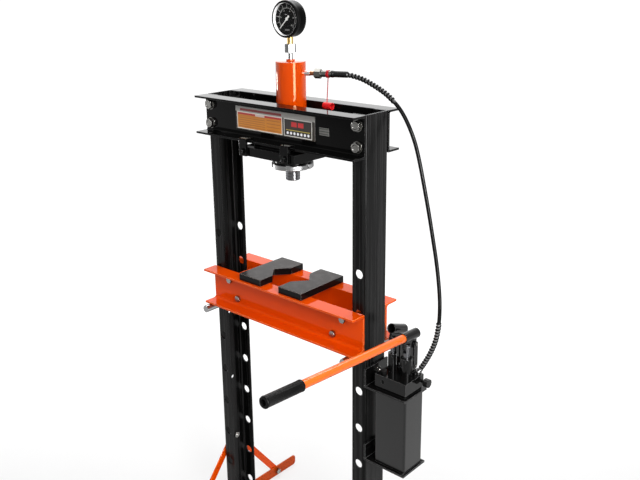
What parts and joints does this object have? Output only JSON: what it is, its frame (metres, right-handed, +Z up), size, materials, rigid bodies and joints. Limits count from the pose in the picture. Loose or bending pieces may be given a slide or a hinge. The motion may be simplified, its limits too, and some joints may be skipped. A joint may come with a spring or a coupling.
{
  "type": "hydraulic shop press",
  "caption": "Floor-standing H-frame hydraulic press with a height-adjustable bed on pins, V-blocks, a spring-return ram, a pressure gauge and a two-speed hand pump on a hose",
  "frame": {"origin": "on the floor under the ram's axis, on the underside of the lower cross channel", "axes": "+X along the head towards the pump, +Y to the back of the press, +Z up"},
  "size_m": [0.8852, 0.8921, 1.844],
  "materials": {
    "frame_paint": "gloss black powder coat",
    "orange_paint": "gloss orange-red powder coat",
    "handle_paint": "satin orange paint",
    "zinc": "bright zinc plate",
    "chrome": "polished steel",
    "pump_paint": "satin dark grey paint",
    "brass": "machined brass",
    "gauge_black": "gloss black paint",
    "dial_black": "matt black dial",
    "lens": "clear flat lens",
    "needle_white": "white paint",
    "black_rubber": "black rubber",
    "cap_red": "soft red plastic",
    "knob_black": "moulded black plastic"
  },
  "bodies": {
    "frame": {"claw_bolts": "frame_paint", "left_upright": "frame_paint", "right_upright": "frame_paint", "head_front_channel": "frame_paint", "head_rear_channel": "frame_paint", "lower_cross_channel": "frame_paint", "carriage_plate": "frame_paint", "carriage_claws": "frame_paint", "left_foot": "orange_paint", "right_foot": "orange_paint", "left_braces": "orange_paint", "right_braces": "orange_paint", "cylinder_body": "orange_paint", "head_bolts": "zinc", "head_nuts": "zinc", "frame_bolts": "zinc", "frame_nuts": "zinc", "lever_pins": "zinc", "gauge_coupling": "zinc", "quick_coupler": "zinc", "block_plugs": "zinc", "return_spring": "zinc", "lock_ring": "chrome", "support_pins": "chrome", "gauge_nipple": "chrome", "hose_port_nipple": "chrome", "hose_end_fitting": "chrome", "suction_tube": "chrome", "pump_upper_bracket": "pump_paint", "pump_lower_bracket": "pump_paint", "oil_tank": "pump_paint", "pump_block": "pump_paint", "pump_barrels": "pump_paint", "lever_links": "pump_paint", "hose_ferrules": "pump_paint", "gauge_stem": "brass", "gland_bush": "brass", "gauge_case": "gauge_black", "gauge_bezel": "gauge_black", "gauge_dial": "dial_black", "gauge_lens": "lens", "hose": "black_rubber", "spring_guards": "black_rubber", "dust_cap": "cap_red"},
    "ram_body": {"ram": "chrome", "piston_seal": "black_rubber"},
    "bed": {"bed_front_channel": "orange_paint", "bed_rear_channel": "orange_paint", "bed_spacers": "orange_paint", "bed_bolts": "zinc", "left_v_block": "frame_paint", "right_v_block": "frame_paint"},
    "left_lever": {"left_lever_socket": "pump_paint"},
    "right_lever": {"right_lever_socket": "pump_paint", "handle_tube": "handle_paint", "handle_grip": "black_rubber"},
    "small_plunger": {"left_plunger": "chrome"},
    "large_plunger": {"right_plunger": "chrome"},
    "knob": {"release_knob": "knob_black"},
    "needle": {"gauge_needle": "needle_white"}
  },
  "joints": [
    {"name": "ram_slide", "type": "slide", "parent": "frame", "child": "ram_body", "axis": [0, 0, -1], "range_m": [0, 0.15], "stiffness_N_per_m": 800, "springref_m": -0.12, "deforming": ["return_spring"]},
    {"name": "bed_slide", "type": "slide", "parent": "frame", "child": "bed", "axis": [0, 0, 1], "range_m": [0, 0.25]},
    {"name": "left_lever_hinge", "type": "hinge", "parent": "frame", "child": "left_lever", "pos_m": [0.384, 0.037, 0.88], "axis": [-1, 0, 0], "range_deg": [-30, 10]},
    {"name": "right_lever_hinge", "type": "hinge", "parent": "frame", "child": "right_lever", "pos_m": [0.434, 0.037, 0.88], "axis": [-1, 0, 0], "range_deg": [-14, 25.5]},
    {"name": "small_plunger_slide", "type": "slide", "parent": "frame", "child": "small_plunger", "axis": [0, 0, 1], "range_m": [-0.0187, 0.0063]},
    {"name": "large_plunger_slide", "type": "slide", "parent": "frame", "child": "large_plunger", "axis": [0, 0, 1], "range_m": [-0.0088, 0.0159]},
    {"name": "release_turn", "type": "hinge", "parent": "frame", "child": "knob", "pos_m": [0.468, 0.034, 0.771], "axis": [1, 0, 0], "range_deg": [0, 270]},
    {"name": "needle_turn", "type": "hinge", "parent": "frame", "child": "needle", "pos_m": [0, 0, 1.7905], "axis": [0, 1, 0], "range_deg": [0, 270], "stiffness_Nm_per_rad": 0.002, "springref_deg": -17.19}
  ],
  "couplings": [
    {"joint": "small_plunger_slide", "follows": "left_lever_hinge", "m_per_rad": 0.0356},
    {"joint": "large_plunger_slide", "follows": "right_lever_hinge", "m_per_rad": 0.0353}
  ]
}
